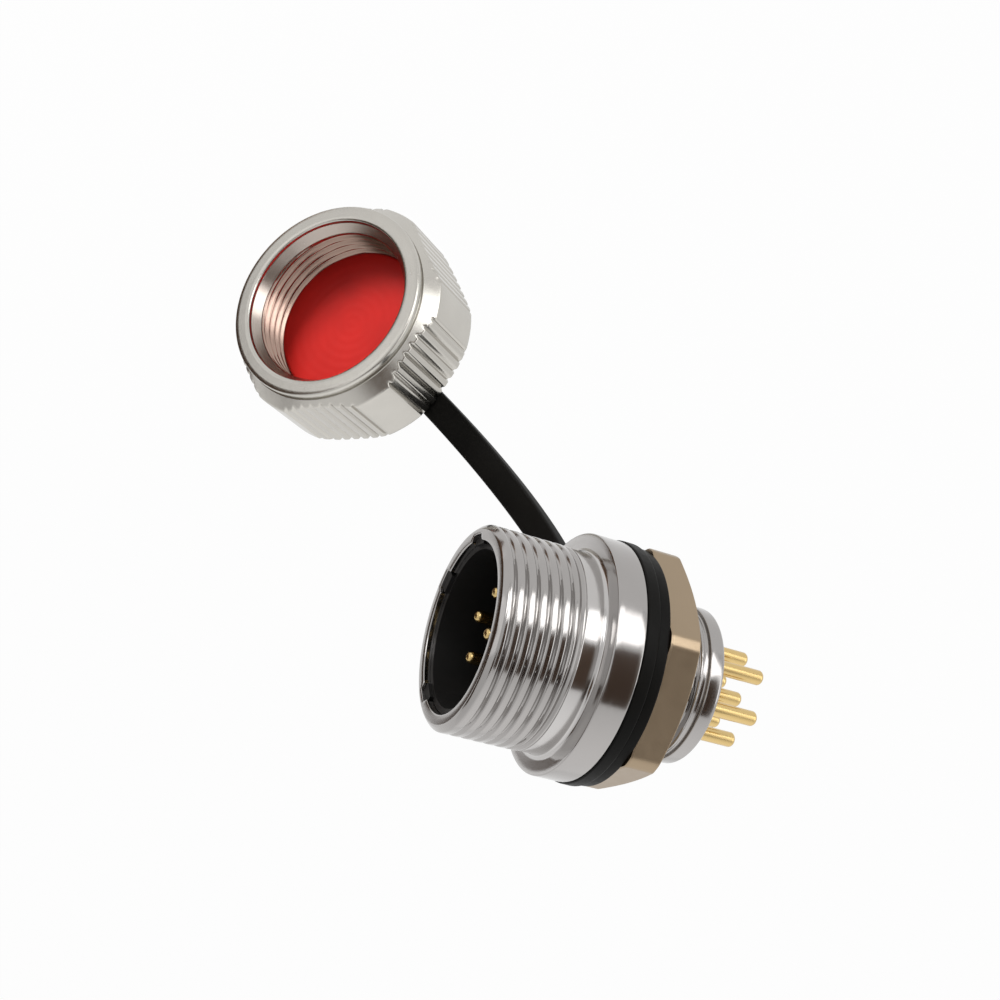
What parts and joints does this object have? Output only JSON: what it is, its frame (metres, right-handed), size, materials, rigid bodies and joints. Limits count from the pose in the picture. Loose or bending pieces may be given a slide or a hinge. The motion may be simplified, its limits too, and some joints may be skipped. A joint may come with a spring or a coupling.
{
  "type": "connector receptacle",
  "caption": "Panel-mount circular receptacle with a threaded coupling barrel, pin contacts, solder posts, a hexagonal panel nut and a tethered screw cap.",
  "frame": {"origin": "On the connector's axis, in the flange's rear face, where the stack of loop, gasket and panel begins.", "axes": "+Y runs along the connector's axis from the mating end to the solder posts. The cap hangs towards -Z. X completes a right-handed frame."},
  "size_m": [0.0225, 0.041, 0.0635],
  "materials": {
    "shell_metal": "bright plated, turned",
    "nut_metal": "bright plated, warm tone",
    "cap_metal": "satin plated",
    "spring_steel": "satin",
    "contact_gold": "gold plated",
    "insert": "moulded, matt",
    "strap_rubber": "moulded, soft sheen",
    "seal_rubber": "smooth"
  },
  "bodies": {
    "receptacle": {"shell": "shell_metal", "front_insert": "insert", "rear_insert": "insert", "retaining_ring": "spring_steel", "contact_1": "contact_gold", "contact_2": "contact_gold", "contact_3": "contact_gold", "contact_4": "contact_gold", "contact_5": "contact_gold", "contact_6": "contact_gold", "contact_7": "contact_gold", "panel_gasket": "strap_rubber"},
    "nut": {"panel_nut": "nut_metal"},
    "tether": {"tether_strap": "strap_rubber"},
    "cap": {"cap_shell": "cap_metal", "cap_seal": "seal_rubber", "cap_rivet": "spring_steel"}
  },
  "joints": [
    {"name": "nut_travel", "type": "slide", "parent": "receptacle", "child": "nut", "axis": [0, 1, 0], "range_m": [0, 0.0035]},
    {"name": "strap_flex", "type": "hinge", "parent": "receptacle", "child": "tether", "pos_m": [0, 0.0005, -0.0108], "axis": [1, 0, 0], "range_deg": [-60, 12], "stiffness_Nm_per_rad": 0.03, "springref_deg": -2.86, "deforming": ["tether_strap"]},
    {"name": "cap_swivel", "type": "hinge", "parent": "tether", "child": "cap", "pos_m": [0, -0.0139, -0.04445], "axis": [-0.4917, -0.7373, 0.4633], "continuous": true}
  ]
}
